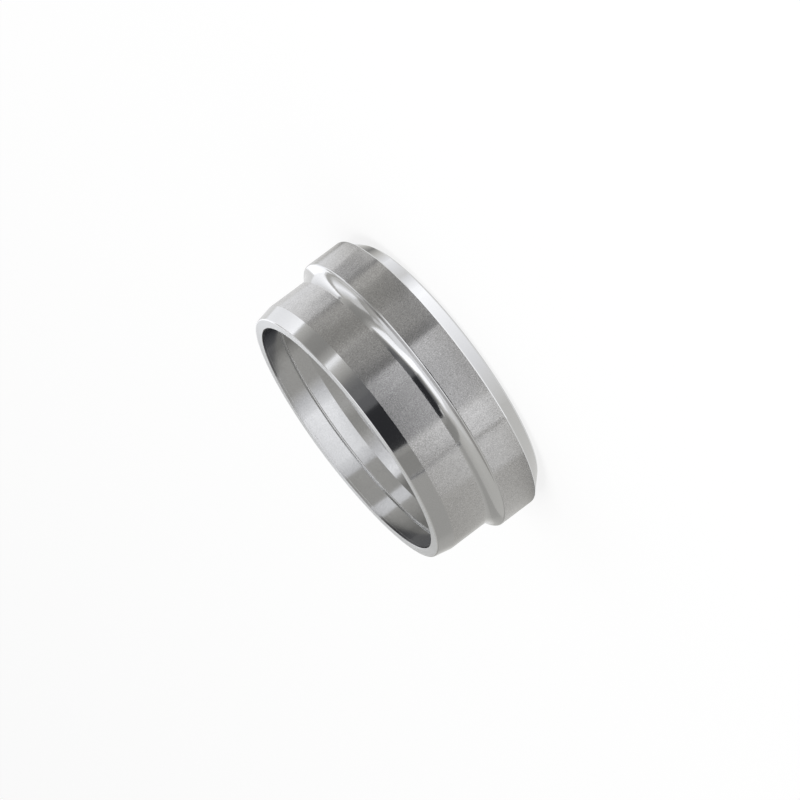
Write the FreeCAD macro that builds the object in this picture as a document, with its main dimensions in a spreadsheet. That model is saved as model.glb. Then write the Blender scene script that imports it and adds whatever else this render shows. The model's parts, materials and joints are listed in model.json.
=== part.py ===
import FreeCAD, Part
import Sketcher
import math
import os

# Compression ring for a 24 degree cone tube fitting.
# The ring is one turned piece. It stands on its rear face, with its axis on Z and its nose up.
# The section is drawn in the XZ plane, as radius across and height up, and is turned about Z.

NODE = "compression_ring"

# Driving sizes, in millimetres and degrees
SIZES = {
    "tube_diameter": 22.0,
    "tube_clearance": 0.1,
    "nose_wall": 1.2,
    "shoulder_height": 0.9,
    "shoulder_run": 1.22,
    "overall_length": 10.5,
    "band_length": 4.55,
    "rear_cone_length": 1.35,
    "rear_cone_angle": 45.0,
    "nose_cone_length": 1.45,
    "nose_cone_angle": 24.0,
    "lip_land": 0.25,
    "recess_length": 1.67,
    "recess_depth": 0.33,
    "edge_land": 0.06,
    "edge_back_run": 0.12,
    "rear_recess_length": 1.31,
    "guide_taper_angle": 20.0,
    "shoulder_edge_round": 0.15,
    "nose_edge_round": 0.12,
    "band_edge_round": 0.15,
    "bore_mouth_chamfer": 0.2,
}

# Sizes that follow from the driving ones
DERIVED = {
    "bore_radius": "tube_diameter / 2 + tube_clearance",
    "nose_radius": "bore_radius + nose_wall",
    "band_radius": "nose_radius + shoulder_height",
    "rear_cone_depth": "rear_cone_length * tan(rear_cone_angle * 1 deg)",
    "nose_cone_depth": "nose_cone_length * tan(nose_cone_angle / 2 * 1 deg)",
    "rear_face_radius": "band_radius - rear_cone_depth",
    "front_face_radius": "nose_radius - nose_cone_depth",
    "shoulder_root_height": "band_length + shoulder_run",
    "nose_cone_start": "overall_length - nose_cone_length",
    "recess_front": "overall_length - lip_land",
    "recess_rear": "recess_front - recess_length",
    "recess_radius": "bore_radius + recess_depth",
    "recess_inner_radius": "bore_radius - recess_depth",
    "edge_rear": "recess_rear - edge_land",
    "rear_recess_front": "edge_rear - edge_back_run",
    "rear_recess_rear": "rear_recess_front - rear_recess_length",
    "guide_taper_run": "recess_depth / tan(guide_taper_angle * 1 deg)",
    "guide_front": "rear_recess_rear - guide_taper_run",
}


def make_sheet(doc):
    """Write the driving sizes and the sizes that follow from them into a spreadsheet."""
    sheet = doc.addObject("Spreadsheet::Sheet", "Sizes")
    for row, (alias, value) in enumerate(SIZES.items(), start=1):
        sheet.set(f"A{row}", alias)
        sheet.set(f"B{row}", str(value))
        sheet.setAlias(f"B{row}", alias)
    for row, (alias, formula) in enumerate(DERIVED.items(), start=len(SIZES) + 1):
        sheet.set(f"A{row}", alias)
        sheet.set(f"B{row}", "=" + formula)
        sheet.setAlias(f"B{row}", alias)
    doc.recompute()
    return sheet


def origin_part(body, role):
    """The origin plane or axis of a body that plays the given role."""
    return next(item for item in body.Origin.OriginFeatures if item.Role == role)


def draw_section(body, name, corners, hollow=None):
    """Draw a closed outline in the XZ plane. Each corner is a pair of sheet names, or 0 for the height of the rear face.

    The run that starts at the corner numbered hollow is an arc, and flows into the straight run after it.
    """
    sheet = body.Document.Sizes
    sketch = body.newObject("Sketcher::SketchObject", name)
    sketch.AttachmentSupport = [(origin_part(body, "XZ_Plane"), "")]
    sketch.MapMode = "FlatFace"
    points = [FreeCAD.Vector(sheet.get(radius), sheet.get(height) if height else 0, 0) for radius, height in corners]
    # A line's first point is 1 and its last is 2. The arc runs the other way round.
    first = [2 if index == hollow else 1 for index in range(len(points))]
    last = [3 - point for point in first]
    for index, start in enumerate(points):
        end = points[(index + 1) % len(points)]
        sketch.addGeometry(hollow_arc(start, end) if index == hollow else Part.LineSegment(start, end))
    for index in range(len(points)):
        following = (index + 1) % len(points)
        joint = "Tangent" if index == hollow else "Coincident"
        sketch.addConstraint(Sketcher.Constraint(joint, index, last[index], following, first[following]))
    for index, (radius, height) in enumerate(corners):
        pin_corner(sketch, index, first[index], "DistanceX", radius, points[index].x)
        if height:
            pin_corner(sketch, index, first[index], "DistanceY", height, points[index].y)
        else:
            sketch.addConstraint(Sketcher.Constraint("PointOnObject", index, first[index], -1))
    return sketch


def hollow_arc(start, end):
    """The arc that leaves the outer corner and ends upright at the inner one, with its centre level with that end."""
    height = start.x - end.x
    run = end.y - start.y
    radius = (height**2 + run**2) / (2 * height)
    centre = FreeCAD.Vector(end.x + radius, end.y, 0)
    turn_angle = math.atan2(run, radius - height)
    return Part.ArcOfCircle(Part.Circle(centre, FreeCAD.Vector(0, 0, 1), radius), math.pi, math.pi + turn_angle)


def pin_corner(sketch, index, point, direction, alias, value):
    """Hold one corner of the outline at the distance from the origin that the sheet gives."""
    place = sketch.addConstraint(Sketcher.Constraint(direction, -1, 1, index, point, value))
    name = f"corner_{index}_{alias}"
    sketch.renameConstraint(place, name)
    sketch.setExpression("Constraints." + name, "Sizes." + alias)


def turn(body, kind, name, sketch):
    """Turn an outline once round the ring's axis, to add metal or to cut it away."""
    feature = body.newObject(kind, name)
    feature.Profile = sketch
    feature.ReferenceAxis = (sketch, ["V_Axis"])
    feature.Angle = 360
    body.Document.recompute()
    return feature


def check_cut(name, before, after, sheet, straight_run, taper_run):
    """Stop if a recess has not cut its own volume, which is that of its straight run and of its tapered ones.

    A taper from the recess's radius R to the bore's radius r cuts pi * run * ((R^2 + R r + r^2) / 3 - r^2).
    """
    wide = sheet.recess_radius
    narrow = sheet.bore_radius
    straight = straight_run * (wide**2 - narrow**2)
    tapered = taper_run * ((wide**2 + wide * narrow + narrow**2) / 3 - narrow**2)
    expected = math.pi * (straight + tapered)
    cut_away = before.Shape.Volume - after.Shape.Volume
    if abs(cut_away - expected) > 0.001 * expected:
        raise RuntimeError(f"the {name} has not cut its own volume")


def circle_edge(feature, radius, height):
    """The name of the circular edge about Z that has this radius and height."""
    for index, edge in enumerate(feature.Shape.Edges, start=1):
        curve = edge.Curve
        if not isinstance(curve, Part.Circle):
            continue
        if abs(curve.Radius - radius) < 1e-4 and abs(curve.Center.z - height) < 1e-4:
            return f"Edge{index}"
    raise RuntimeError(f"{feature.Label} has no circle of radius {radius} at height {height}")


def dress_edge(body, kind, name, base, radius, height, size_property, alias):
    """Round or chamfer one circular edge of the ring, by the size that the sheet gives."""
    feature = body.newObject(kind, name)
    feature.Base = (base, [circle_edge(base, radius, height)])
    feature.setExpression(size_property, "Sizes." + alias)
    body.Document.recompute()
    return feature


def make_ring(doc):
    """Turn the ring's blank, cut the two recesses of its bore, and dress the edges."""
    sheet = doc.Sizes
    body = doc.addObject("PartDesign::Body", NODE)
    body.Label = NODE
    body.Placement = FreeCAD.Placement()

    # The blank: rear face, rear cone, band, hollow shoulder, nose, nose cone, front face, bore
    corners = [
        ("bore_radius", 0),
        ("rear_face_radius", 0),
        ("band_radius", "rear_cone_length"),
        ("band_radius", "band_length"),
        ("nose_radius", "shoulder_root_height"),
        ("nose_radius", "nose_cone_start"),
        ("front_face_radius", "overall_length"),
        ("bore_radius", "overall_length"),
    ]
    shoulder = corners.index(("band_radius", "band_length"))
    section = draw_section(body, "ring_section", corners, hollow=shoulder)
    blank = turn(body, "PartDesign::Revolution", "ring_blank", section)

    # The front recess leaves a cutting lip at the front face. The rear one leaves a second cutting edge
    # between the two, and runs out in a taper that leads down to the bore.
    recess_section = draw_section(body, "recess_section", [
        ("recess_inner_radius", "recess_rear"),
        ("recess_radius", "recess_rear"),
        ("recess_radius", "recess_front"),
        ("recess_inner_radius", "recess_front"),
    ])
    front_recess = turn(body, "PartDesign::Groove", "front_recess", recess_section)
    rear_section = draw_section(body, "rear_recess_section", [
        ("recess_inner_radius", "guide_front"),
        ("bore_radius", "guide_front"),
        ("recess_radius", "rear_recess_rear"),
        ("recess_radius", "rear_recess_front"),
        ("bore_radius", "edge_rear"),
        ("recess_inner_radius", "edge_rear"),
    ])
    recess = turn(body, "PartDesign::Groove", "rear_recess", rear_section)
    taper_run = sheet.edge_back_run + sheet.guide_taper_run
    check_cut("front recess", blank, front_recess, sheet, sheet.recess_length, 0.0)
    check_cut("rear recess", front_recess, recess, sheet, sheet.rear_recess_length, taper_run)

    # Broken edges at both ends of the band, at the nose, and at the tube's way in
    shoulder_edge = dress_edge(body, "PartDesign::Fillet", "shoulder_edge", recess, sheet.band_radius,
                               sheet.band_length, "Radius", "shoulder_edge_round")
    nose_edge = dress_edge(body, "PartDesign::Fillet", "nose_edge", shoulder_edge, sheet.front_face_radius,
                           sheet.overall_length, "Radius", "nose_edge_round")
    band_edge = dress_edge(body, "PartDesign::Fillet", "band_edge", nose_edge, sheet.band_radius,
                           sheet.rear_cone_length, "Radius", "band_edge_round")
    dress_edge(body, "PartDesign::Chamfer", "bore_mouth", band_edge, sheet.bore_radius,
               0, "Size", "bore_mouth_chamfer")
    return body


def check(doc, bodies):
    """Stop if any object of the document has failed, or if a body is not one sound solid."""
    for item in doc.Objects:
        if "Invalid" in item.State or "Error" in item.State:
            raise RuntimeError(f"{item.Label} has failed: {item.State}")
    for body in bodies:
        if body.Shape.isNull() or not body.Shape.isValid() or len(body.Shape.Solids) != 1:
            raise RuntimeError(f"{body.Label} is not one sound solid")


def main():
    doc = FreeCAD.newDocument("compression_ring")
    make_sheet(doc)
    ring = make_ring(doc)
    doc.recompute()
    check(doc, [ring])
    os.makedirs("parts", exist_ok=True)
    ring.Shape.exportStep(f"parts/{ring.Label}.step")
    box = ring.Shape.optimalBoundingBox()
    print(f"{ring.Label}: {box.XLength:.3f} x {box.YLength:.3f} x {box.ZLength:.3f} mm, "
          f"volume {ring.Shape.Volume:.2f} mm3")


main()
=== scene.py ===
import json
import math
from typing import NamedTuple

import bpy
import numpy as np
from mathutils import Matrix, Vector


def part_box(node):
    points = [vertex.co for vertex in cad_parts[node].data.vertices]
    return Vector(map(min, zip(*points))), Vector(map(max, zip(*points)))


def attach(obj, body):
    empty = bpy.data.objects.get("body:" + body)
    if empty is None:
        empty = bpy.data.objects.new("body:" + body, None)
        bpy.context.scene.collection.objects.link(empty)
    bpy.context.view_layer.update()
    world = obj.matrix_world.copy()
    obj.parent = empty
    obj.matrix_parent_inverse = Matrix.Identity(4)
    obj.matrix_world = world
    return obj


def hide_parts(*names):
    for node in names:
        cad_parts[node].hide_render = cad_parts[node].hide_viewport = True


bl_info = {
    "name": "Compression Ring",
    "version": (1, 0, 0),
    "blender": (4, 5, 0),
    "location": "3D View > Sidebar > Ring",
    "description": "A turned steel compression ring for a cone tube fitting, with a plain studio round it",
    "category": "Add Mesh",
}

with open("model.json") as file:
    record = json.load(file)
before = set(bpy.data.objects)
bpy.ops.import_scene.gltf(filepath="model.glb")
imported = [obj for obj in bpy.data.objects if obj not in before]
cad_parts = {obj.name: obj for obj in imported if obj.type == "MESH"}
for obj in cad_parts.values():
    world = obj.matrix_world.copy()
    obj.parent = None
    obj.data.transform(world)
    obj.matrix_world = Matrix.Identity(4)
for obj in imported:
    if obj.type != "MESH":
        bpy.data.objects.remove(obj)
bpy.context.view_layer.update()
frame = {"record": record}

MM = 0.001
NODE = "compression_ring"
RING_UV = "along_and_round"

LOWEST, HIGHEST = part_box(NODE)
TUBE_BORE = next(mount for mount in frame["record"]["mounts"] if mount["name"] == "tube_bore")
BORE_RADIUS = TUBE_BORE["dims"]["r_mm"] * MM
# The CAD model's round faces are made of flats, so the band takes their smallest reach and stays inside them
BAND_RADIUS = min(HIGHEST.x, HIGHEST.y, -LOWEST.y)

# Sockets of the Mix, Mix Shader and Math nodes go by number, because they share their names
FACTOR = 0
NUMBER_A = 2
NUMBER_B = 3
COLOUR_A = 6
COLOUR_B = 7
COLOUR_RESULT = 2
SHADER_A = 1
SHADER_B = 2
VALUE_A = 0
VALUE_B = 1


def linear(hex_colour):
    """An sRGB hex colour as linear red, green and blue, with a full alpha."""
    channels = [int(hex_colour[start:start + 2], 16) / 255 for start in (1, 3, 5)]
    curve = [c / 12.92 if c <= 0.04045 else ((c + 0.055) / 1.055) ** 2.4 for c in channels]
    return (*curve, 1.0)


def length(name, description, default):
    """A length that the user can change. Its default is in metres."""
    return bpy.props.FloatProperty(
        name=name, description=description, default=default, min=0.0, unit="LENGTH", precision=5)


def angle(name, description, degrees):
    """An angle that the user can change. Its default is in degrees."""
    return bpy.props.FloatProperty(
        name=name, description=description, default=math.radians(degrees), min=0.0, subtype="ANGLE")


def colour(name, description, hex_colour):
    """A colour that the user can change. Its default is an sRGB hex value."""
    return bpy.props.FloatVectorProperty(
        name=name, description=description, default=linear(hex_colour), size=4, min=0.0, max=1.0,
        subtype="COLOR")


def share(name, description, default):
    """A number from 0 to 1 that the user can change."""
    return bpy.props.FloatProperty(
        name=name, description=description, default=default, min=0.0, max=1.0, subtype="FACTOR")


class RingSizes(bpy.types.PropertyGroup):
    """The sizes of the ring's section."""

    band_radius: length("Band radius", "Outside radius of the band", BAND_RADIUS)
    bore_radius: length("Bore radius", "Radius of the bore and of the cutting lip", BORE_RADIUS)
    overall_length: length("Overall length", "Rear face to front face", HIGHEST.z - LOWEST.z)
    nose_wall: length("Nose wall", "Metal between the bore and the straight nose", 1.2 * MM)
    band_length: length("Band length", "Rear face to where the shoulder starts", 4.55 * MM)
    shoulder_run: length("Shoulder run", "Length of the hollow shoulder along the axis", 1.22 * MM)
    rear_cone_length: length("Rear cone length", "Length of the 45 degree rear cone", 1.35 * MM)
    nose_cone_length: length("Nose cone length", "Length of the nose cone along the axis", 1.45 * MM)
    nose_cone_angle: angle("Nose cone angle", "Full angle of the nose cone", 24)
    lip_land: length("Lip land", "Length of the cutting lip along the bore", 0.25 * MM)
    recess_length: length("Recess length", "Length of the recess behind the cutting lip", 1.67 * MM)
    recess_depth: length("Recess depth", "Depth of both recesses below the bore", 0.33 * MM)
    edge_land: length("Edge land", "Length of the second cutting edge's tip along the bore", 0.06 * MM)
    edge_back_run: length("Edge back run", "Length of the second cutting edge's sloping back", 0.12 * MM)
    rear_recess_length: length("Rear recess length", "Length of the recess behind the second edge", 1.31 * MM)
    guide_taper_angle: angle("Guide taper angle", "Slope from the rear recess down to the bore", 20)
    mouth_chamfer: length("Mouth chamfer", "Chamfer where the tube goes in", 0.2 * MM)
    band_edge_round: length("Band edge round", "Broken edges at both ends of the band", 0.15 * MM)
    nose_edge_round: length("Nose edge round", "Broken edge at the front face", 0.12 * MM)
    sharp_edge_round: length("Sharp edge round", "What the tool leaves of a sharp edge", 0.03 * MM)


class RingFinish(bpy.types.PropertyGroup):
    """The colours of the steel and the size of its grain."""

    satin_colour: colour("Satin steel", "The band and the nose, left with a fine satin", "#CAC9C8")
    bright_colour: colour("Bright steel", "The cones, the shoulder and the edges, turned bright", "#D6D6D6")
    faced_colour: colour("Faced steel", "The end faces and the second edge's front, turned flat", "#D7D8D9")
    bored_colour: colour("Bored steel", "The bore and its recesses", "#B8B8B8")
    # A real satin's specks are too fine to show in the render, so these are as coarse as they need to be
    grain_size: length("Grain size", "Width of one speck of the satin", 0.1 * MM)
    cloud_size: length("Cloud size", "Width of the broader patches in the satin", 0.6 * MM)
    grain_depth: share("Grain depth", "How much lighter and darker the grain makes the steel", 0.23)


class StudioLook(bpy.types.PropertyGroup):
    """The floor and the light of the studio."""

    floor_colour: colour("Floor", "The pale floor", "#F5F5F5")
    air_colour: colour("Surroundings", "The pale room that lights the object from all sides", "#DFDFDF")
    floor_glow: share("Floor glow", "Share of the floor's white that needs no light", 0.8)
    lamp_power: bpy.props.FloatProperty(
        name="Softbox power", description="Power of the softbox above the ring", default=1.5, min=0.0,
        unit="POWER")


class Arc(NamedTuple):
    """A round stretch of the section, with the finish of its own metal and of the straight run after it.

    Its points are centre + radius * n, where n is the outward normal, which turns from the angle first to the
    angle last. In a hollow the metal lies outside the circle, and the radius is negative.
    """

    centre: tuple
    radius: float
    first: float
    last: float
    finish: str
    next_finish: str


def direction(turn):
    """The unit vector in the section, turned by this much from straight outwards to straight up."""
    return np.stack([np.cos(turn), np.sin(turn)], axis=-1)


def rounded_corner(before, corner, after, radius, finish, next_finish):
    """The arc that rounds a corner between two straight runs.

    A run's outward normal is its direction turned a quarter to the right. The centre lies behind both
    runs, at corner - radius * (n0 + n1) / (1 + n0 . n1), and the radius is negative where the outline turns
    inwards.
    """
    runs = np.array([np.subtract(corner, before), np.subtract(after, corner)])
    runs /= np.linalg.norm(runs, axis=1)[:, None]
    normals = np.stack([runs[:, 1], -runs[:, 0]], axis=1)
    turn = math.atan2(np.linalg.det(normals), normals[0] @ normals[1])
    signed = math.copysign(radius, turn)
    centre = np.array(corner) - signed * normals.sum(axis=0) / (1 + normals[0] @ normals[1])
    first = math.atan2(normals[0, 1], normals[0, 0])
    return Arc(tuple(centre), signed, first, first + turn, finish, next_finish)


def shoulder_arcs(sizes, nose_radius):
    """The broken edge of the band and the hollow that runs from it into the nose.

    The hollow's circle is upright where it meets the nose, and its radius is (height^2 + run^2) / (2 height).
    The edge's circle touches it from inside the metal, so their centres are both radii apart.
    """
    height = sizes.band_radius - nose_radius
    hollow = (height**2 + sizes.shoulder_run**2) / (2 * height)
    hollow_centre = (nose_radius + hollow, sizes.band_length + sizes.shoulder_run)
    edge = sizes.band_edge_round
    across = hollow_centre[0] - (sizes.band_radius - edge)
    along = math.sqrt((hollow + edge) ** 2 - across**2)
    edge_centre = (sizes.band_radius - edge, hollow_centre[1] - along)
    steepest = math.atan2(along, across)
    return [
        Arc(edge_centre, edge, 0.0, steepest, "bright", "bright"),
        Arc(hollow_centre, -hollow, steepest, 0.0, "bright", "satin"),
    ]


def ring_section(sizes):
    """The section as a chain of arcs, from the bore's rear end up the outside and back down the bore."""
    bore = sizes.bore_radius
    band = sizes.band_radius
    nose = bore + sizes.nose_wall
    top = sizes.overall_length
    mouth = sizes.mouth_chamfer
    recess = bore + sizes.recess_depth
    recess_front = top - sizes.lip_land
    recess_rear = recess_front - sizes.recess_length
    edge_rear = recess_rear - sizes.edge_land
    rear_recess_front = edge_rear - sizes.edge_back_run
    rear_recess_rear = rear_recess_front - sizes.rear_recess_length
    guide_front = rear_recess_rear - sizes.recess_depth / math.tan(sizes.guide_taper_angle)
    cone_start = top - sizes.nose_cone_length
    front_edge = nose - sizes.nose_cone_length * math.tan(sizes.nose_cone_angle / 2)
    shoulder = shoulder_arcs(sizes, nose)
    sharp = sizes.sharp_edge_round
    corners = [
        ((bore + mouth, 0.0), sharp, "faced", "faced"),
        ((band - sizes.rear_cone_length, 0.0), sharp, "bright", "bright"),
        ((band, sizes.rear_cone_length), sizes.band_edge_round, "bright", "satin"),
        "shoulder",
        ((nose, cone_start), sharp, "bright", "bright"),
        ((front_edge, top), sizes.nose_edge_round, "bright", "faced"),
        ((bore, top), sharp, "bright", "bored"),
        ((bore, recess_front), sharp, "bright", "bored"),
        ((recess, recess_front), sharp, "bored", "bored"),
        ((recess, recess_rear), sharp, "bored", "faced"),
        ((bore, recess_rear), sharp, "bright", "bright"),
        ((bore, edge_rear), sharp, "bright", "bored"),
        ((recess, rear_recess_front), sharp, "bored", "bored"),
        ((recess, rear_recess_rear), sharp, "bored", "bored"),
        ((bore, guide_front), sharp, "bored", "bored"),
        ((bore, mouth), sharp, "bored", "bored"),
    ]
    ends = {"shoulder": ((band, sizes.band_length), (nose, sizes.band_length + sizes.shoulder_run))}
    firsts = [ends[item][0] if item == "shoulder" else item[0] for item in corners]
    lasts = [ends[item][1] if item == "shoulder" else item[0] for item in corners]
    arcs = []
    for index, item in enumerate(corners):
        if item == "shoulder":
            arcs += shoulder
            continue
        following = firsts[(index + 1) % len(corners)]
        arcs.append(rounded_corner(lasts[index - 1], item[0], following, *item[1:]))
    return arcs


def section_points(arcs, finest_turn=math.radians(8), finest_step=0.05 * MM):
    """Points, outward normals, distances and finishes along the section, from its arcs.

    Each arc is cut into equal turns, none above finest_turn and none longer than finest_step along the arc.
    The straight run to the next arc needs no point of its own.
    """
    points = []
    normals = []
    finishes = []
    for arc in arcs:
        turn = abs(arc.last - arc.first)
        cuts = max(2, math.ceil(turn / finest_turn), math.ceil(turn * abs(arc.radius) / finest_step))
        outward = direction(np.linspace(arc.first, arc.last, cuts + 1))
        points.append(np.array(arc.centre) + arc.radius * outward)
        normals.append(outward)
        finishes += [arc.finish] * cuts + [arc.next_finish]
    points = np.concatenate(points)
    steps = np.linalg.norm(np.roll(points, -1, axis=0) - points, axis=1)
    distances = np.concatenate([[0.0], np.cumsum(steps)])
    return points, np.concatenate(normals), distances, finishes


def turned_mesh(name, arcs, finish_order, turns=480):
    """Turn a closed section once round Z.

    A point at radius r and height h of the section goes to (r sin a, -r cos a, h) as a runs over the full
    circle, and its normal turns with it. The grid wraps both ways, so the surface is closed. U is the
    distance along the section and V the distance round the ring, both in millimetres.
    """
    points, outward, distances, finishes = section_points(arcs)
    rows = len(points)
    angles = np.linspace(0.0, 2 * math.pi, turns + 1)
    spokes = np.stack([np.sin(angles), -np.cos(angles)], axis=1)

    def carried_round(section):
        around = section[:, None, :1] * spokes[None, :turns]
        upward = np.broadcast_to(section[:, None, 1:], (rows, turns, 1))
        return np.concatenate([around, upward], axis=2).reshape(-1, 3)

    row, column = np.meshgrid(np.arange(rows), np.arange(turns), indexing="ij")
    corner_rows = np.stack([row, row, row + 1, row + 1], axis=2)
    corner_columns = np.stack([column, column + 1, column + 1, column], axis=2)
    loops = (corner_rows % rows) * turns + corner_columns % turns
    round_length = points[:, 0].max() * angles
    uv = np.stack([distances[corner_rows], round_length[corner_columns]], axis=3) / MM
    zone = np.array([finish_order.index(finish) for finish in finishes])

    mesh = bpy.data.meshes.new(name)
    mesh.vertices.add(rows * turns)
    mesh.vertices.foreach_set("co", carried_round(points).astype(np.float32).ravel())
    mesh.loops.add(loops.size)
    mesh.loops.foreach_set("vertex_index", loops.astype(np.int32).ravel())
    mesh.polygons.add(rows * turns)
    mesh.polygons.foreach_set("loop_start", np.arange(0, loops.size, 4, dtype=np.int32))
    mesh.polygons.foreach_set("material_index", np.repeat(zone, turns).astype(np.int32))
    mesh.polygons.foreach_set("use_smooth", np.ones(rows * turns, dtype=bool))
    mesh.uv_layers.new(name=RING_UV).data.foreach_set("uv", uv.astype(np.float32).ravel())
    mesh.update(calc_edges=True)
    mesh.validate()
    mesh.normals_split_custom_set_from_vertices(carried_round(outward))
    return mesh


def sheet_mesh(name, surface, across, along):
    """A sheet from a function of two numbers from 0 to 1, which gives a point and a brightness for each.

    Seen with the first number running right and the second up, the sheet faces away. The brightness is kept
    in an attribute named level, for the material of the light cards.
    """
    u, v = np.meshgrid(np.linspace(0, 1, across + 1), np.linspace(0, 1, along + 1), indexing="ij")
    points, level = surface(u.ravel(), v.ravel())
    first = (np.arange(across)[:, None] * (along + 1) + np.arange(along)).ravel()
    quads = np.stack([first, first + 1, first + along + 2, first + along + 1], axis=1)
    mesh = bpy.data.meshes.new(name)
    mesh.from_pydata(points.tolist(), [], quads.tolist())
    mesh.attributes.new("level", "FLOAT", "POINT").data.foreach_set("value", level.astype(np.float32))
    return mesh


def add_node(tree, kind, inputs=None, **settings):
    """Add a node with its settings.

    Each input is a number or a colour, or the output of another node that feeds it.
    """
    node = tree.nodes.new(kind)
    for name, value in settings.items():
        setattr(node, name, value)
    for name, value in (inputs or {}).items():
        if isinstance(value, bpy.types.NodeSocket):
            tree.links.new(value, node.inputs[name])
        else:
            node.inputs[name].default_value = value
    return node


def new_material(name):
    """An empty node material and its tree."""
    material = bpy.data.materials.new(name)
    material.use_nodes = True
    material.node_tree.nodes.clear()
    return material, material.node_tree


def pattern_scale(size):
    """The scale that gives a noise pattern features of this real size, on coordinates in metres."""
    return 1.0 / size


def shaded(colour_value, factor):
    """A colour made lighter or darker by a factor."""
    return (*(min(1.0, channel * factor) for channel in colour_value[:3]), 1.0)


# How much of the pattern is clouds and not grain, and between which values the noise nearly always lies
CLOUD_SHARE = 0.2
NOISE_REACH = (0.25, 0.75)


def steel(name, base, roughness, anisotropy, grain_depth, bump_height):
    """Turned stainless steel: a metal whose gloss is stretched across the turning marks, with a fine grain.

    The tangent follows U, along the section. The marks run round the ring, so they blur a reflection along
    the section and leave it crisp round the ring, which draws the upright streaks.
    """
    finish = bpy.context.scene.ring_finish
    material, tree = new_material(name)
    place = add_node(tree, "ShaderNodeTexCoord").outputs["Object"]
    grain = add_node(tree, "ShaderNodeTexNoise", {
        "Vector": place, "Scale": pattern_scale(finish.grain_size), "Detail": 1.0, "Roughness": 0.5})
    clouds = add_node(tree, "ShaderNodeTexNoise", {
        "Vector": place, "Scale": pattern_scale(finish.cloud_size), "Detail": 2.0, "Roughness": 0.5})
    both = add_node(tree, "ShaderNodeMix", {
        FACTOR: CLOUD_SHARE, NUMBER_A: grain.outputs["Fac"], NUMBER_B: clouds.outputs["Fac"]})
    tone = add_node(tree, "ShaderNodeMapRange", {
        "Value": both.outputs[0], "From Min": NOISE_REACH[0], "From Max": NOISE_REACH[1]})
    darkest = shaded(base, 1 - grain_depth)
    lightest = shaded(base, 1 + grain_depth)
    colour_mix = add_node(tree, "ShaderNodeMix", {
        FACTOR: tone.outputs[0], COLOUR_A: darkest, COLOUR_B: lightest}, data_type="RGBA")
    bump = add_node(tree, "ShaderNodeBump", {
        "Strength": 1.0, "Distance": bump_height, "Height": grain.outputs["Fac"]})
    tangent = add_node(tree, "ShaderNodeTangent", direction_type="UV_MAP", uv_map=RING_UV)
    shader = add_node(tree, "ShaderNodeBsdfPrincipled", {
        "Base Color": colour_mix.outputs[COLOUR_RESULT], "Metallic": 1.0, "Roughness": roughness,
        "Anisotropic": anisotropy, "Tangent": tangent.outputs[0], "Normal": bump.outputs[0]})
    add_node(tree, "ShaderNodeOutputMaterial", {"Surface": shader.outputs[0]})
    return material


def satin_steel():
    """Stainless steel, turned and left with a fine satin: a grey, grainy sheen with soft upright streaks."""
    finish = bpy.context.scene.ring_finish
    return steel("steel_turned_satin", finish.satin_colour, roughness=0.27, anisotropy=0.92,
                 grain_depth=finish.grain_depth, bump_height=0.0)


def bright_steel():
    """Stainless steel, finish-turned with a fine feed: nearly a mirror, with crisp dark and white bands."""
    finish = bpy.context.scene.ring_finish
    return steel("steel_turned_bright", finish.bright_colour, roughness=0.12, anisotropy=0.3,
                 grain_depth=0.03, bump_height=0.00005 * MM)


def faced_steel():
    """Stainless steel, faced across the end: an even, cool grey."""
    finish = bpy.context.scene.ring_finish
    return steel("steel_faced", finish.faced_colour, roughness=0.35, anisotropy=0.5,
                 grain_depth=0.06, bump_height=0.0002 * MM)


def bored_steel():
    """Stainless steel, bored inside: a soft grey gloss with broad light and dark patches."""
    finish = bpy.context.scene.ring_finish
    return steel("steel_bored", finish.bored_colour, roughness=0.12, anisotropy=0.6,
                 grain_depth=0.1, bump_height=0.0)


FINISHES = {"satin": satin_steel, "bright": bright_steel, "faced": faced_steel, "bored": bored_steel}


def link(name, data):
    """Put an object with this data into the scene, at the origin."""
    item = bpy.data.objects.new(name, data)
    bpy.context.scene.collection.objects.link(item)
    return item


class TurnRing(bpy.types.Operator):
    """Turn the ring from its section and give each part of it its finish"""

    bl_idname = "compression_ring.turn_ring"
    bl_label = "Turn the Ring"

    def execute(self, context):
        order = list(FINISHES)
        mesh = turned_mesh("turned_ring", ring_section(context.scene.ring_sizes), order)
        for make_material in FINISHES.values():
            mesh.materials.append(make_material())
        ring = link("turned_ring", mesh)
        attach(ring, "root")
        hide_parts(NODE)
        return {"FINISHED"}


# The camera of the photo: its tilt, its distance from the point that it looks at, and the turn of the picture
CAMERA_AIM = Vector((-0.115, 0.0, 4.964)) * MM
CAMERA_DISTANCE = 441.0 * MM
CAMERA_PITCH = math.radians(11.870)
CAMERA_ROLL = math.radians(-126.869)
CAMERA_LENS = 243.0
CAMERA_SENSOR = 36.0
CAMERA_CLIP = (10 * MM, 10000 * MM)

FLOOR_SIDE = 6000 * MM

# The cards: how far off they stand, how high they lie above the floor, and the faces across each and up it
CARD_DISTANCE = 300 * MM
CARD_LIFT = 0.1 * MM
FOOT_LIFT = 0.15 * MM
CARD_FACES = (24, 48)
BORE_CARD_RADIUS = BORE_RADIUS - 0.1 * MM
CEILING_RADIUS = 200 * MM
CEILING_LEVEL = 1.0

# The middle of the ring's outside, where the cards' directions start
MIRROR_RADIUS = 12.8 * MM
MIRROR_HEIGHT = 6.0 * MM

# The tints of the cards, and the levels between which each goes over into the next
COOL_BLACK = "#F1F4FF"
WARM_GREY = "#FFFEFA"
COOL_WHITE = "#FBFCFF"
BLACK_TO_GREY = (0.05, 0.3)
GREY_TO_WHITE = (0.6, 1.0)

SOFTBOX_DISTANCE = 600 * MM
SOFTBOX_SIZE = (400 * MM, 300 * MM)
SOFTBOX_AZIMUTH = math.radians(8)
SOFTBOX_ELEVATION = math.radians(66)


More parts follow.
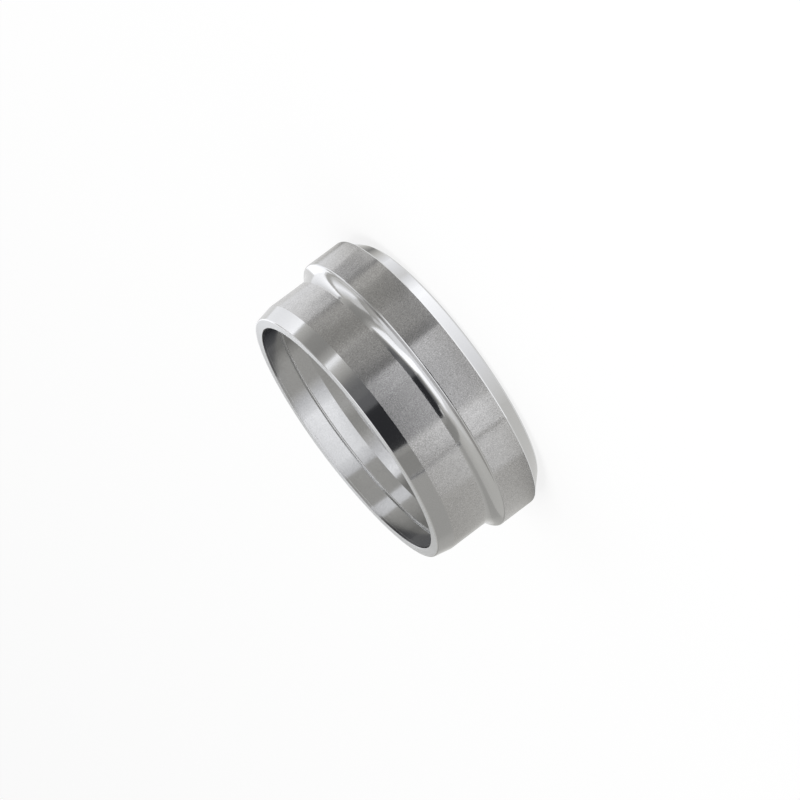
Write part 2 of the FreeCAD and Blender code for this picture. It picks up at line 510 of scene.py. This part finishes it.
class Card(NamedTuple):
    """A bent card that only shows in the ring's reflections.

    Directions are those in which the ring's outside mirrors the camera's sight. Azimuth 0 is the camera's
    side and 90 is +X. Each upright edge, left then right, has its own lowest and highest elevation, and its
    own brightness at both of them. Places and levels were set until the strips lay as in the photo.
    """

    name: str
    azimuths: tuple
    lows: tuple
    highs: tuple
    low_levels: tuple
    high_levels: tuple


CARDS = (
    # Cards that stand round the ring. Those that start below level first run out over the floor
    Card("left_back", (-181, -155), (-14, -14), (-1, -1), (0.92, 0.57), (0.72, 0.48)),
    Card("left_back_middle", (-181, -155), (-1, -1), (16, 16), (0.64, 0.41), (0.54, 0.41)),
    Card("left_wall", (-155, -58), (-14, -14), (-1, -1), (0.54, 0.52), (0.47, 0.5)),
    Card("left_wall_middle", (-155, -58), (-1, -1), (16, 16), (0.41, 0.44), (0.41, 0.44)),
    Card("left_wall_high", (-181, -55), (16, 16), (60, 60), (0.58, 0.51), (0.55, 0.72)),
    Card("left_top", (-181, -42), (60, 60), (86, 86), (0.55, 0.9), (0.68, 0.95)),
    Card("left_line", (-57.5, -55.5), (-14, -14), (16, 16), (0.12, 0.12), (0.12, 0.12)),
    Card("left_panel", (-55, -36), (-14, -14), (36, 36), (0.30, 0.30), (0.33, 0.33)),
    Card("left_panel_top", (-55, -36), (36, 36), (60, 60), (0.33, 0.33), (0.7, 1.0)),
    Card("left_light", (-36, -31.5), (-14, -14), (30, 30), (0.40, 0.46), (0.38, 0.34)),
    Card("left_light_top", (-36, -24), (30, 30), (54, 54), (0.34, 0.24), (0.85, 1.0)),
    Card("black_card", (-31, 7), (-14, -14), (20, 20), (0.035, 0.035), (0.035, 0.035)),
    Card("black_card_middle", (-26, 7), (20, 20), (27, 27), (0.03, 0.03), (0.04, 0.04)),
    Card("black_card_top", (-23, 7), (27, 27), (37, 37), (0.12, 0.12), (0.2, 0.2)),
    Card("grey_card", (-24, 12), (37, 37), (46, 46), (0.22, 0.22), (0.42, 0.45)),
    Card("grey_card_top", (-30, 12), (46, 46), (54, 54), (0.45, 0.5), (0.9, 1.1)),
    Card("front_white", (-42, 40), (54, 54), (75, 75), (1.2, 1.6), (1.5, 1.6)),
    Card("dark_card", (7, 18), (-14, -14), (32, 25), (0.15, 0.16), (0.15, 0.16)),
    Card("dark_slot", (18, 25), (-14, -14), (25, 21), (0.17, 0.17), (0.2, 0.2)),
    Card("dark_panel", (25, 36), (-14, -14), (21, 12), (0.10, 0.12), (0.2, 0.25)),
    Card("grey_panel", (36, 54.5), (-14, -14), (12, -2), (0.24, 0.33), (0.26, 0.36)),
    Card("grey_slope", (8, 56), (32, -3), (46, 8), (0.16, 0.35), (0.8, 0.66)),
    Card("light_edge", (54.5, 58), (-14, -14), (4, 4), (0.66, 0.66), (0.66, 0.66)),
    Card("slanted_white", (9, 57), (46, 6), (74, 48), (1.65, 1.3), (1.6, 1.3)),
    Card("shade_light", (58, 68), (-14, -14), (46, 46), (0.45, 0.28), (0.65, 0.38)),
    Card("shade", (68, 84), (-14, -14), (40, 50), (0.28, 0.33), (0.34, 0.38)),
    Card("right_panel", (84, 98), (-14, -14), (30, 20), (0.36, 0.62), (0.36, 0.62)),
    Card("right_line", (98, 100), (-14, -14), (4, 4), (0.2, 0.2), (0.2, 0.2)),
    Card("right_white", (100, 150), (-8, -14), (8, 26), (0.78, 1.0), (1.65, 1.42)),
    Card("right_end", (150, 179), (-14, -14), (6, 6), (0.82, 0.85), (0.82, 0.8)),
    Card("right_end_white", (150, 179), (6, 6), (27, 36), (1.5, 1.32), (1.55, 1.32)),
    Card("right_grey", (98, 166), (8, 30), (14, 38), (0.5, 0.45), (0.55, 0.5)),
    Card("right_arc", (94, 120), (12, 22), (36, 48), (0.55, 1.35), (0.7, 1.35)),
    Card("right_arc_end", (120, 150), (22, 36), (48, 44), (1.35, 0.5), (1.2, 0.5)),
    Card("right_arch", (84, 155), (48, 50), (62, 62), (0.4, 0.42), (0.55, 0.5)),
    Card("right_back", (146, 179), (38, 36), (75, 75), (0.75, 0.85), (1.0, 1.0)),
    Card("back_seam", (179, 184), (-14, -14), (40, 40), (0.3, 1.25), (0.3, 1.25)),
    # Cards that lie on the floor, from near the ring to where the others start
    Card("floor_left", (-181, -90), (-65, -65), (-14, -14), (0.0, 0.1), (0.74, 0.88)),
    Card("floor_left_middle", (-90, -58), (-65, -65), (-14, -14), (0.2, 0.5), (1.25, 1.35)),
    Card("floor_left_line", (-57.5, -55.5), (-65, -65), (-14, -14), (0.3, 0.3), (0.3, 0.3)),
    Card("floor_left_panel", (-55, -34), (-65, -65), (-14, -14), (0.4, 0.3), (1.65, 2.15)),
    Card("floor_front", (-34, 25), (-65, -65), (-14, -14), (0.16, 0.05), (1.58, 1.7)),
    Card("floor_streak", (25, 33), (-65, -65), (-14, -14), (0.1, 0.1), (0.35, 0.35)),
    Card("floor_dark", (33, 58), (-65, -65), (-14, -14), (0.1, 0.1), (0.55, 0.4)),
    Card("floor_shade", (58, 84), (-65, -65), (-14, -14), (0.1, 0.25), (0.38, 0.55)),
    Card("floor_right_panel", (84, 96), (-65, -65), (-14, -14), (0.4, 0.45), (0.72, 0.68)),
    Card("floor_right_line", (96, 100), (-65, -65), (-14, -14), (0.2, 0.2), (0.15, 0.15)),
    Card("floor_right_near", (100, 122), (-65, -65), (-14, -14), (0.8, 1.0), (0.0, 0.1)),
    Card("floor_right", (122, 151), (-65, -65), (-14, -14), (0.3, 0.3), (0.95, 1.08)),
    Card("floor_right_strip", (151, 158), (-65, -65), (-14, -14), (0.1, 0.1), (0.55, 0.55)),
    Card("floor_right_end", (158, 179), (-65, -65), (-14, -14), (0.3, 0.3), (0.8, 0.8)),
)


class FootCard(NamedTuple):
    """A card on the floor round the ring's foot, between two angles round the ring and two radii.

    Angle 0 is the camera's side and 90 is +X. Each radial edge has its own brightness.
    """

    name: str
    angles: tuple
    radii: tuple
    levels: tuple


# The radii of the cards for the rear cone, and of the one for the band's rear edge
CONE_FOOT = (11.95 * MM, 12.95 * MM)
EDGE_FOOT = (12.95 * MM, 14.1 * MM)

FOOT_CARDS = (
    # What the rear cone shows
    FootCard("foot_left", (-90, -26), CONE_FOOT, (0.66, 0.69)),
    FootCard("foot_rise", (-26, 27), CONE_FOOT, (0.71, 1.45)),
    FootCard("foot_bright", (27, 32), CONE_FOOT, (1.48, 1.4)),
    FootCard("foot_fall", (32, 40), CONE_FOOT, (1.36, 0.86)),
    FootCard("foot_second", (40, 52), CONE_FOOT, (0.85, 1.12)),
    FootCard("foot_shade", (52, 66), CONE_FOOT, (1.05, 0.26)),
    FootCard("foot_end", (66, 88), CONE_FOOT, (0.26, 1.15)),
    # What the band's rear edge shows
    FootCard("foot_line", (-32, 33), EDGE_FOOT, (1.5, 1.5)),
)


class BoreCard(NamedTuple):
    """A card just inside the bore's radius, for the strip that the far wall shows between two of its angles.

    Angle 0 is the camera's side, 90 is +X and 180 the far wall. Each upright edge has its own brightness. The
    cards hide the near wall in the far wall's reflections, and stand in for what the two show of each other.
    They are light and no part of the ring, though they stand in it.
    """

    name: str
    angles: tuple
    heights: tuple
    levels: tuple


# How high the cards stand. The middle of the recesses mirrors the lower wall, the ends of the front one the
# wall above that, and the taper what is over the mouth, which is the ring's overall length up.
LOW_IN_BORE = (2.0 * MM, 7.0 * MM)
HIGH_IN_BORE = (7.0 * MM, 9.2 * MM)
OVER_MOUTH = (12.5 * MM, 24.0 * MM)

BORE_CARDS = (
    # What the two recesses show
    BoreCard("bore_far", (114, 126), LOW_IN_BORE, (0.3, 0.32)),
    BoreCard("bore_shade_left", (126, 134), LOW_IN_BORE, (0.35, 0.58)),
    BoreCard("bore_grey_left", (134, 151), LOW_IN_BORE, (0.6, 0.6)),
    BoreCard("bore_rising", (151, 163), LOW_IN_BORE, (0.65, 1.5)),
    BoreCard("bore_white", (163, 187), LOW_IN_BORE, (1.7, 1.5)),
    BoreCard("bore_falling", (187, 193.5), LOW_IN_BORE, (1.4, 1.0)),
    BoreCard("bore_grey", (193.5, 211), LOW_IN_BORE, (0.6, 0.56)),
    BoreCard("bore_second_white", (211, 218), LOW_IN_BORE, (1.15, 1.15)),
    BoreCard("bore_grey_right", (218, 228), LOW_IN_BORE, (0.62, 0.46)),
    BoreCard("bore_dark_right", (228, 234), LOW_IN_BORE, (0.44, 0.34)),
    # What the front recess shows near its ends
    BoreCard("bore_end_left", (98, 108), HIGH_IN_BORE, (0.04, 0.04)),
    BoreCard("bore_high_left", (108, 120), HIGH_IN_BORE, (0.05, 0.15)),
    BoreCard("bore_high_right", (240, 258), HIGH_IN_BORE, (0.2, 0.16)),
    # What the taper shows
    BoreCard("mouth_left", (152, 168), OVER_MOUTH, (0.54, 0.68)),
    BoreCard("mouth_fall", (168, 174), OVER_MOUTH, (0.68, 0.5)),
    BoreCard("mouth_grey", (174, 182), OVER_MOUTH, (0.49, 0.53)),
    BoreCard("mouth_rise", (182, 205), OVER_MOUTH, (0.56, 1.55)),
)


def between(ends, share_across):
    """A value part of the way from the first end to the last."""
    return ends[0] + share_across * (ends[1] - ends[0])


def round_the_axis(radius, azimuth, height):
    """Points at these radii, azimuths and heights. Azimuth 0 is the camera's side, a quarter turn is +X."""
    x = radius * np.sin(azimuth)
    y = -radius * np.cos(azimuth)
    return np.stack([x, y, np.full_like(azimuth, height)], axis=1)


def card_surface(card):
    """The card as a function of two numbers, across it and up it.

    A card leaves the ring's outside at half its azimuth and runs in the direction of its azimuth. Where that
    points down it lies on the floor, MIRROR_HEIGHT / tan(angle below level) away, out to CARD_DISTANCE. From
    there it goes on as part of a sphere. Its upright edges so show on the ring as straight strips along the
    axis.
    """

    def surface(u, v):
        azimuth = np.radians(between(card.azimuths, u))
        elevation = np.radians(between((between(card.lows, u), between(card.highs, u)), v))
        lying = elevation < -math.atan(MIRROR_HEIGHT / CARD_DISTANCE)
        fall = np.tan(np.where(lying, -elevation, 1.0))
        reach = np.where(lying, MIRROR_HEIGHT / fall, CARD_DISTANCE * np.cos(elevation))
        height = np.where(lying, CARD_LIFT, MIRROR_HEIGHT + CARD_DISTANCE * np.sin(elevation))
        level = between((between(card.low_levels, u), between(card.high_levels, u)), v)
        return round_the_axis(MIRROR_RADIUS, azimuth / 2, 0.0) + round_the_axis(reach, azimuth, height), level

    return surface


def foot_card_surface(card):
    """The card as a function of two numbers, across its angles and out from its inner radius."""

    def surface(u, v):
        azimuth = np.radians(between(card.angles, u))
        return round_the_axis(between(card.radii, v), azimuth, FOOT_LIFT), between(card.levels, u)

    return surface


def bore_card_surface(card):
    """The card as a function of two numbers, round the bore and up it.

    A line of sight that meets the far wall at the angle a crosses the bore and comes to the wall again at
    3 a - 180, so the card for the strip at a stands there. What the taper mirrors lies over the mouth at
    about that angle.
    """

    def surface(u, v):
        azimuth = np.radians(3 * between(card.angles, u) - 180)
        return round_the_axis(BORE_CARD_RADIUS, azimuth, between(card.heights, v)), between(card.levels, u)

    return surface


def ceiling_surface(u, v):
    """A round card above the ring, by its azimuth and its radius."""
    azimuth = -2 * math.pi * u
    return round_the_axis(v * CEILING_RADIUS, azimuth, CARD_DISTANCE), np.full_like(u, CEILING_LEVEL)


def card_material():
    """A card that glows with painted light: it shines at the level that its points keep, on the side that
    faces the ring.

    The dark cards are a cool black, the grey ones a little warm and the white ones a little cool, as in the
    photo. Their backs are clear, so that a card just off the bore's wall doesn't hide the metal behind it.
    """
    material, tree = new_material("glowing_card")
    level = add_node(tree, "ShaderNodeAttribute", attribute_name="level").outputs["Fac"]
    greyed = add_node(tree, "ShaderNodeMapRange", {
        "Value": level, "From Min": BLACK_TO_GREY[0], "From Max": BLACK_TO_GREY[1]})
    whitened = add_node(tree, "ShaderNodeMapRange", {
        "Value": level, "From Min": GREY_TO_WHITE[0], "From Max": GREY_TO_WHITE[1]})
    grey = add_node(tree, "ShaderNodeMix", {
        FACTOR: greyed.outputs[0], COLOUR_A: linear(COOL_BLACK), COLOUR_B: linear(WARM_GREY)},
        data_type="RGBA")
    tint = add_node(tree, "ShaderNodeMix", {
        FACTOR: whitened.outputs[0], COLOUR_A: grey.outputs[COLOUR_RESULT], COLOUR_B: linear(COOL_WHITE)},
        data_type="RGBA")
    # Painted light: the card glows by emission at the level of its points, and no lamp lights it
    glow = add_node(tree, "ShaderNodeEmission", {"Color": tint.outputs[COLOUR_RESULT], "Strength": level})
    clear = add_node(tree, "ShaderNodeBsdfTransparent")
    behind = add_node(tree, "ShaderNodeNewGeometry").outputs["Backfacing"]
    one_sided = add_node(tree, "ShaderNodeMixShader", {
        FACTOR: behind, SHADER_A: glow.outputs[0], SHADER_B: clear.outputs[0]})
    add_node(tree, "ShaderNodeOutputMaterial", {"Surface": one_sided.outputs[0]})
    return material


def floor_material(look):
    """Matt white board. To the camera and in reflections, part of its white needs no light.

    The rest of it is plain board, which takes the ring's shadow.
    """
    material, tree = new_material("white_board")
    rays = add_node(tree, "ShaderNodeLightPath")
    seen = add_node(tree, "ShaderNodeMath", {
        VALUE_A: rays.outputs["Is Camera Ray"], VALUE_B: rays.outputs["Is Glossy Ray"]}, operation="ADD")
    shown = add_node(tree, "ShaderNodeMath", {
        VALUE_A: seen.outputs[0], VALUE_B: rays.outputs["Is Transmission Ray"]},
        operation="ADD", use_clamp=True)
    glow_share = add_node(tree, "ShaderNodeMath", {
        VALUE_A: shown.outputs[0], VALUE_B: look.floor_glow}, operation="MULTIPLY")
    board = add_node(tree, "ShaderNodeBsdfDiffuse", {"Color": tuple(look.floor_colour)})
    glow = add_node(tree, "ShaderNodeEmission", {"Strength": 1.0})
    mixed = add_node(tree, "ShaderNodeMixShader", {
        FACTOR: glow_share.outputs[0], SHADER_A: board.outputs[0], SHADER_B: glow.outputs[0]})
    add_node(tree, "ShaderNodeOutputMaterial", {"Surface": mixed.outputs[0]})
    return material


def add_floor(look):
    """A large flat board under the ring."""

    def surface(u, v):
        points = FLOOR_SIDE * np.stack([v - 0.5, u - 0.5, 0 * u], axis=1)
        return points, np.ones_like(u)

    floor = link("floor", sheet_mesh("floor", surface, 1, 1))
    floor.data.materials.append(floor_material(look))


def add_cards():
    """Lay and stand the cards round the ring, inside it and above it. Only reflections see them.

    They are a part of the light and not of the object.
    """
    material = card_material()
    surfaces = {card.name: card_surface(card) for card in CARDS}
    surfaces.update({card.name: foot_card_surface(card) for card in FOOT_CARDS})
    surfaces.update({card.name: bore_card_surface(card) for card in BORE_CARDS})
    surfaces["ceiling"] = ceiling_surface
    for name, surface in surfaces.items():
        item = link(name, sheet_mesh(name, surface, *CARD_FACES))
        item.data.materials.append(material)
        item.visible_camera = False
        item.visible_diffuse = False
        item.visible_shadow = False
        item.visible_transmission = False


def add_softbox(look):
    """A soft lamp in front of the ring and above it, which looks at the ring."""
    lamp = bpy.data.lights.new("softbox", "AREA")
    lamp.shape = "RECTANGLE"
    lamp.size, lamp.size_y = SOFTBOX_SIZE
    lamp.energy = look.lamp_power
    flat = math.cos(SOFTBOX_ELEVATION)
    away = Vector((
        flat * math.sin(SOFTBOX_AZIMUTH), -flat * math.cos(SOFTBOX_AZIMUTH), math.sin(SOFTBOX_ELEVATION)))
    item = link("softbox", lamp)
    item.visible_glossy = False
    turned = away.to_track_quat("Z", "Y").to_matrix().to_4x4()
    item.matrix_world = Matrix.Translation(SOFTBOX_DISTANCE * away) @ turned


def add_world(look):
    """A plain pale room that lights the ring from all sides."""
    world = bpy.data.worlds.new("pale_room")
    world.use_nodes = True
    tree = world.node_tree
    tree.nodes.clear()
    air = add_node(tree, "ShaderNodeBackground", {"Color": tuple(look.air_colour), "Strength": 1.0})
    add_node(tree, "ShaderNodeOutputWorld", {"Surface": air.outputs[0]})
    bpy.context.scene.world = world


def add_camera():
    """The camera at the photo's viewing angle, turned so that the ring leans as it does there."""
    lens = bpy.data.cameras.new("camera")
    lens.lens = CAMERA_LENS
    lens.sensor_width = CAMERA_SENSOR
    lens.clip_start, lens.clip_end = CAMERA_CLIP
    back = Vector((0.0, -math.cos(CAMERA_PITCH), math.sin(CAMERA_PITCH)))
    camera = link("camera", lens)
    turned = Matrix.Rotation(math.pi / 2 - CAMERA_PITCH, 4, "X") @ Matrix.Rotation(CAMERA_ROLL, 4, "Z")
    camera.matrix_world = Matrix.Translation(CAMERA_AIM + CAMERA_DISTANCE * back) @ turned
    bpy.context.scene.camera = camera


class SetStage(bpy.types.Operator):
    """Lay the pale floor, stand the cards and the soft light round the ring, and aim the camera"""

    bl_idname = "compression_ring.set_stage"
    bl_label = "Set the Stage"

    def execute(self, context):
        look = context.scene.ring_studio
        add_floor(look)
        add_cards()
        add_softbox(look)
        add_world(look)
        add_camera()
        context.scene.view_settings.view_transform = "Standard"
        return {"FINISHED"}


class RingPanel(bpy.types.Panel):
    """The ring's sizes, finish and stage"""

    bl_idname = "VIEW3D_PT_compression_ring"
    bl_label = "Compression Ring"
    bl_space_type = "VIEW_3D"
    bl_region_type = "UI"
    bl_category = "Ring"

    def draw(self, context):
        scene = context.scene
        listed = ((scene.ring_sizes, TurnRing), (scene.ring_finish, None), (scene.ring_studio, SetStage))
        for group, operator in listed:
            box = self.layout.box()
            for name in group.__annotations__:
                box.prop(group, name)
            if operator:
                box.operator(operator.bl_idname)


CLASSES = (RingSizes, RingFinish, StudioLook, TurnRing, SetStage, RingPanel)


def register():
    for item in CLASSES:
        bpy.utils.register_class(item)
    bpy.types.Scene.ring_sizes = bpy.props.PointerProperty(type=RingSizes)
    bpy.types.Scene.ring_finish = bpy.props.PointerProperty(type=RingFinish)
    bpy.types.Scene.ring_studio = bpy.props.PointerProperty(type=StudioLook)


def unregister():
    del bpy.types.Scene.ring_studio
    del bpy.types.Scene.ring_finish
    del bpy.types.Scene.ring_sizes
    for item in reversed(CLASSES):
        bpy.utils.unregister_class(item)


def main():
    register()
    bpy.ops.compression_ring.turn_ring()
    bpy.ops.compression_ring.set_stage()


if __name__ == "__main__":
    main()
